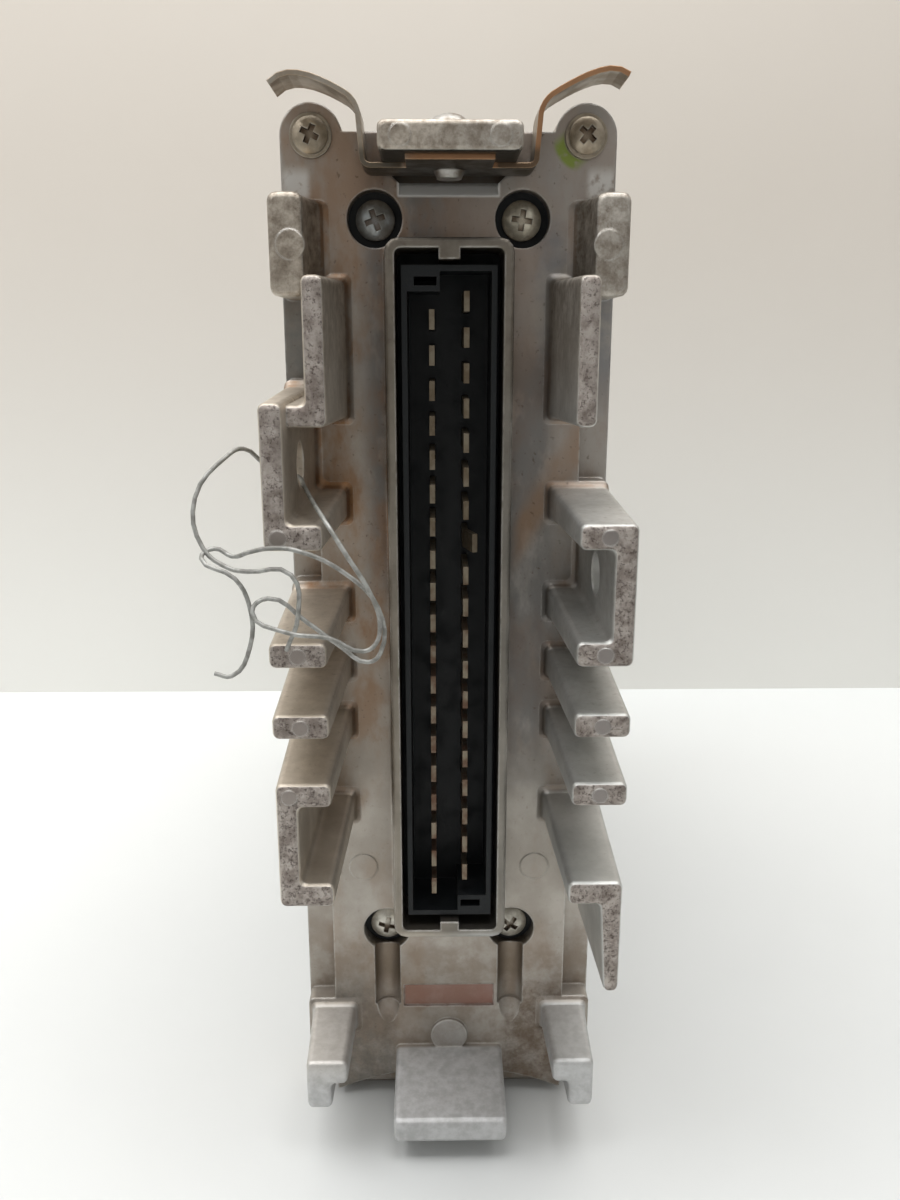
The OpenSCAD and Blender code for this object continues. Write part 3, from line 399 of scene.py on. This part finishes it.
# The arms are painted dark: dirt and painted shade.
arm_dirt_and_shade = abs(across).past(0.0065, 0.0003) * (1 - height.between(0.1568, 0.1585))
tint = place.noise(0.004, 4).between(0.38, 0.66)
strip = tint.mix(tone(172, 165, 154), tone(146, 134, 118))
# The crevices are painted dark from how shut in they are: dirt and painted shade.
strip = (hollow.between(0.45, 0.8) * 0.7).mix(strip, tone(84, 78, 68))
strip = (underside_shade * 0.85).mix(strip, tone(66, 60, 51))
strip = (front_edge * across.between(-0.008, -0.004)).mix(strip, tone(164, 124, 92))
strip = (arm_dirt_and_shade * 0.8).mix(strip, tone(78, 71, 60))
lay_on(spring,
       Base_Color=(edge * 0.5).mix(strip, tone(208, 178, 146)),
       Metallic=0.92,
       Roughness=0.34 + 0.16 * tint,
       Normal=relief(place, place.noise(0.0006, 3), 0.00003, rounded))
dress(spring, "spring_clip")

# The rivet: plain steel, lightly stained, put through the ledge and the spring clip and closed over
# both by its two round heads.

rivet, place = new_finish("rivet_metal")
stain = place.noise(0.002, 4).between(0.4, 0.7)
lay_on(rivet,
       Base_Color=stain.mix(tone(170, 168, 164), tone(120, 110, 98)),
       Metallic=0.9,
       Roughness=0.35 + 0.2 * stain,
       Normal=relief(place, place.noise(0.0006, 3), 0.00004, edges(place, 0.0003)[0]))
dress(rivet, "clip_rivet")

# The gaskets: black rubber with a faint bloom, cut from sheet and squeezed between the case and its
# two ends.

rubber, place = new_finish("gasket_rubber")
bloom = place.noise(0.003, 4).between(0.4, 0.7)
lay_on(rubber,
       Base_Color=bloom.mix(tone(34, 34, 34), tone(62, 61, 59)),
       Roughness=0.78 + 0.1 * bloom,
       Normal=relief(place, place.noise(0.0004, 3), 0.00004, edges(place, 0.0002)[0]))
dress(rubber, "front_gasket", "rear_gasket")

# The case sleeve and rear cover: extruded and pressed aluminium, drawn along the unit's length and
# scuffed from handling.

sleeve, place = new_finish("sleeve_aluminium")
rounded, edge = edges(place, 0.0005)
drawn = place.noise(0.0006, 4, 0.6, (1, 0.02, 1))
scuff = place.noise(0.012, 6, 0.6, (1, 0.3, 1)).between(0.48, 0.72)
skin = drawn.mix(tone(150, 149, 146), tone(178, 177, 174))
skin = (scuff * 0.3).mix(skin, tone(132, 128, 121))
lay_on(sleeve,
       Base_Color=(edge * 0.6).mix(skin, tone(208, 207, 204)),
       Metallic=0.88,
       Roughness=0.4 + 0.16 * drawn + 0.12 * scuff,
       Normal=relief(place, drawn, 0.00003, rounded))
dress(sleeve, "case_sleeve", "rear_cover")

# The header carrier and clamp bar: aluminium with the marks of the rolling mill, bent and cut to cool
# the power transistors, which the bar presses against the carrier.

sheet, place = new_finish("carrier_aluminium")
rolled = place.noise(0.0008, 4, 0.6, (1, 1, 0.03))
lay_on(sheet,
       Base_Color=rolled.mix(tone(176, 176, 178), tone(202, 202, 204)),
       Metallic=0.9,
       Roughness=0.32 + 0.14 * rolled,
       Normal=relief(place, rolled, 0.00002, edges(place, 0.0004)[0]))
dress(sheet, "header_carrier", "clamp_bar")

# The circuit board: green lacquered laminate, whose woven glass shows through, held in the sleeve's
# rails.

laminate, place = new_finish("board_laminate")
weave = place.noise(0.0007, 2, 0.5, (1, 1, 0.2)) * place.noise(0.0007, 2, 0.5, (1, 0.2, 1))
lay_on(laminate,
       Base_Color=weave.between(0.15, 0.4).mix(tone(34, 74, 46), tone(58, 104, 66)),
       Roughness=0.34 + 0.1 * weave,
       Normal=relief(place, weave, 0.00003, edges(place, 0.0002)[0]))
dress(laminate, "circuit_board")

# The chips and power transistors: black moulded resin, soldered to the board, and the memory chip's
# socket of brown-black plastic.

resin, place = new_finish("chip_plastic")
matt = place.noise(0.0003, 3)
lay_on(resin,
       Base_Color=matt.between(0.3, 0.7).mix(tone(36, 36, 38), tone(52, 52, 53)),
       Roughness=0.5 + 0.15 * matt,
       Normal=relief(place, matt, 0.00002, edges(place, 0.0002)[0]))
dress(resin, "processor", "memory_chip", "driver_chips", "power_transistors")

socket_plastic, place = new_finish("socket_plastic")
matt = place.noise(0.0004, 3)
lay_on(socket_plastic,
       Base_Color=matt.between(0.3, 0.7).mix(tone(52, 46, 42), tone(68, 61, 56)),
       Roughness=0.45 + 0.15 * matt,
       Normal=relief(place, matt, 0.00002, edges(place, 0.0002)[0]))
dress(socket_plastic, "memory_socket")

# The capacitors, crystal and choke: cans in shrunk blue sleeves, a plated case, and a coil of lacquered
# copper wire, all soldered to the board.

wrap, place = new_finish("capacitor_sleeve")
shrink = place.noise(0.003, 3)
lay_on(wrap,
       Base_Color=shrink.mix(tone(38, 46, 84), tone(56, 66, 108)),
       Roughness=0.3 + 0.1 * shrink,
       Normal=relief(place, shrink, 0.00003, edges(place, 0.0003)[0]))
dress(wrap, "capacitors")

can, place = new_finish("crystal_can")
haze = place.noise(0.002, 3)
lay_on(can,
       Base_Color=haze.mix(tone(196, 194, 190), tone(214, 213, 210)),
       Metallic=0.95,
       Roughness=0.25 + 0.15 * haze,
       Normal=relief(place, haze, 0.00002, edges(place, 0.0003)[0]))
dress(can, "crystal")

coil, place = new_finish("coil_wire")
turns = place.make("ShaderNodeTexWave", out="Fac", wave_type="BANDS", bands_direction="Y",
                   sockets={"Vector": place, "Scale": 900.0, "Distortion": 0.4})
lay_on(coil,
       Base_Color=turns.mix(tone(92, 48, 26), tone(176, 104, 62)),
       Metallic=0.6,
       Roughness=0.3 + 0.1 * turns,
       Normal=relief(place, turns, 0.0001, edges(place, 0.0002)[0]))
dress(coil, "choke_coil")

# The loose wire: thin galvanised steel wire, threaded through the hole in the left fin bracket,
# looped twice in front of it and left with two bare ends. Its route is in millimetres from that hole.

wire_d = 0.0006
bracket_hole = (-24.7, -75.2, 115.9)
wire_route = [
    (3.2, -14, -22.4), (5.2, -16, -16.9), (4.5, -16, -11.9), (-1.3, -14, -11.9),
    (-3.8, -13, -11.7), (-7.1, -12.5, -9.2), (-8.1, -11, -2.9), (-4.3, -8, 2.1),
    (-2.7, -5, 2.7), (-0.1, -0.4, -0.3), (3.7, -0.3, -1.6), (4.7, -2.5, -2.5),
    (6.2, -7, -3.7), (9, -14.5, -5.7), (11.2, -16, -8.9), (14.7, -16.5, -14.9),
    (15.5, -16.2, -18.3), (14.9, -16.4, -20.9), (13.3, -16.8, -21.7), (9.2, -17, -19.9),
    (3.7, -17, -19.1), (-0.6, -16, -16.7), (1.3, -15.3, -15.1), (6.1, -15.3, -18.2),
    (10.3, -15.4, -21.4), (13.9, -15.4, -23.6), (15.5, -15.4, -22.3), (15.3, -15.4, -16.4),
    (11.4, -15.4, -12), (5.2, -15.4, -8.9), (1.7, -15, -8.7), (-1.1, -14, -9.4),
    (-3.5, -12.2, -10.3), (-5.9, -11.6, -9.4), (-7.2, -13.4, -10.3), (-2.9, -14.4, -12.7),
    (-1.3, -14, -16.4), (-1.5, -14, -21.9), (-4.1, -14, -25.9), (-6.3, -14, -25.5)]
wire_points = [tuple((a + b) / 1000 for a, b in zip(bracket_hole, knot)) for knot in wire_route]

line = bpy.data.curves.new("loose_wire", "CURVE")
line.dimensions = "3D"
line.bevel_depth = wire_d / 2
line.bevel_resolution = 2
line.resolution_u = 4
line.use_fill_caps = True
spline = line.splines.new("BEZIER")
spline.bezier_points.add(len(wire_points) - 1)
for knot, point in zip(spline.bezier_points, wire_points):
    knot.co = point
    knot.handle_left_type = "AUTO"
    knot.handle_right_type = "AUTO"
wire = bpy.data.objects.new("loose_wire", line)
bpy.context.scene.collection.objects.link(wire)

galvanised, place = new_finish("wire_steel")
grey = place.noise(0.0015, 4).between(0.35, 0.65)
lay_on(galvanised,
       Base_Color=grey.mix(tone(170, 170, 166), tone(136, 135, 130)),
       Metallic=0.6,
       Roughness=0.55 + 0.15 * grey,
       Normal=place.make("ShaderNodeBump", sockets={"Distance": 0.00002,
                                                    "Height": place.noise(0.0004, 3)}))
line.materials.append(galvanised)
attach(wire, "root")
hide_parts("seal_wire")

# The table and wall: a white table top against a pale wall of plain paint. The table is painted
# lighter towards the wall, a painted pool of light, and the wall is painted lighter along its foot, a
# painted glow of light bounced from the table. The wall's back is clear, so that the unit shows from
# behind.

table_size = 2.4
wall_size = 1.6
wall_y = 0.156


def stage_plane(name, size, place_at, turn, finish):
    bpy.ops.object.select_all(action="DESELECT")
    bpy.ops.mesh.primitive_plane_add(size=size, location=place_at, rotation=turn)
    plane = bpy.context.object
    plane.name = name
    plane.data.materials.append(finish)


white, place = new_finish("table_white")
cloud = place.noise(0.08, 3)
# The table is painted lighter towards the wall: a painted pool of light.
far_painted_light = place.axis("Y").between(-0.06, 0.12)
near_side = cloud.mix(tone(208, 210, 209), tone(218, 220, 219))
lay_on(white,
       Base_Color=far_painted_light.mix(near_side, tone(226, 228, 227)),
       Roughness=0.55)
stage_plane("table", table_size, (0, 0, 0), (0, 0, 0), white)

paint, place = new_finish("wall_paint")
cloud = place.noise(0.12, 3)
# The wall is painted lighter along its foot: a painted glow of light bounced from the table.
above_painted_glow = place.axis("Y").between(-0.8, -0.6)
upper_paint = cloud.mix(tone(196, 189, 179), tone(202, 195, 186))
lay_on(paint,
       Base_Color=above_painted_glow.mix(tone(226, 225, 220), upper_paint),
       Roughness=0.7)
paint_nodes = paint.node_tree.nodes
one_sided = place.make("ShaderNodeMixShader", sockets={
    0: place.make("ShaderNodeNewGeometry", out="Backfacing"),
    1: Field(paint.node_tree, paint_nodes["Principled BSDF"].outputs[0]),
    2: place.make("ShaderNodeBsdfTransparent")})
paint.node_tree.links.new(one_sided.socket, paint_nodes["Material Output"].inputs["Surface"])
stage_plane("wall", wall_size, (0, wall_y, wall_size / 2), (math.radians(90), 0, 0), paint)

# The light: a wide soft panel overhead, a weak one on the left, and a pale room that is lighter
# towards its ceiling.

world = bpy.data.worlds.new("room")
bpy.context.scene.world = world
world.use_nodes = True
room_coords = world.node_tree.nodes.new("ShaderNodeTexCoord")
room = Field(world.node_tree, room_coords.outputs["Generated"])
up = room.axis("Z").between(0.0, 0.9)
ahead = room.axis("Y").between(-0.9, 0.2)
sky = up.mix(ahead.mix(tone(176, 174, 171), tone(160, 158, 155)), tone(214, 214, 214))
background = world.node_tree.nodes["Background"]
world.node_tree.links.new(sky.socket, background.inputs["Color"])
background.inputs["Strength"].default_value = 0.85


def soft_panel(name, width, length, watts, place_at, turn):
    panel = bpy.data.lights.new(name, "AREA")
    panel.shape = "RECTANGLE"
    panel.size = width
    panel.size_y = length
    panel.energy = watts
    panel_at = bpy.data.objects.new(name, panel)
    panel_at.location = place_at
    panel_at.rotation_euler = turn
    bpy.context.scene.collection.objects.link(panel_at)


soft_panel("overhead_panel", 0.8, 0.4, 5.0, (-0.09, -0.1, 0.6), (0, 0, 0))
soft_panel("left_panel", 0.4, 0.4, 0.25, (-0.6, -0.25, 0.4),
           (0, math.radians(-68), math.radians(25)))

# The camera: close in front of the connector and a little above it, looking down on the foot, as the
# photograph was taken.

look_down = math.radians(14.570)
look_right = math.radians(0.877)
eye = bpy.data.cameras.new("camera")
eye.sensor_fit = "VERTICAL"
eye.sensor_height = 36
eye.lens = 30
eye.clip_start = 0.01
camera = bpy.data.objects.new("camera", eye)
camera.location = (-0.00216, -0.21357, 0.13251)
camera.rotation_euler = (math.radians(90) - look_down, 0, -look_right)
bpy.context.scene.collection.objects.link(camera)
bpy.context.scene.camera = camera
bpy.context.scene.view_settings.view_transform = "Standard"
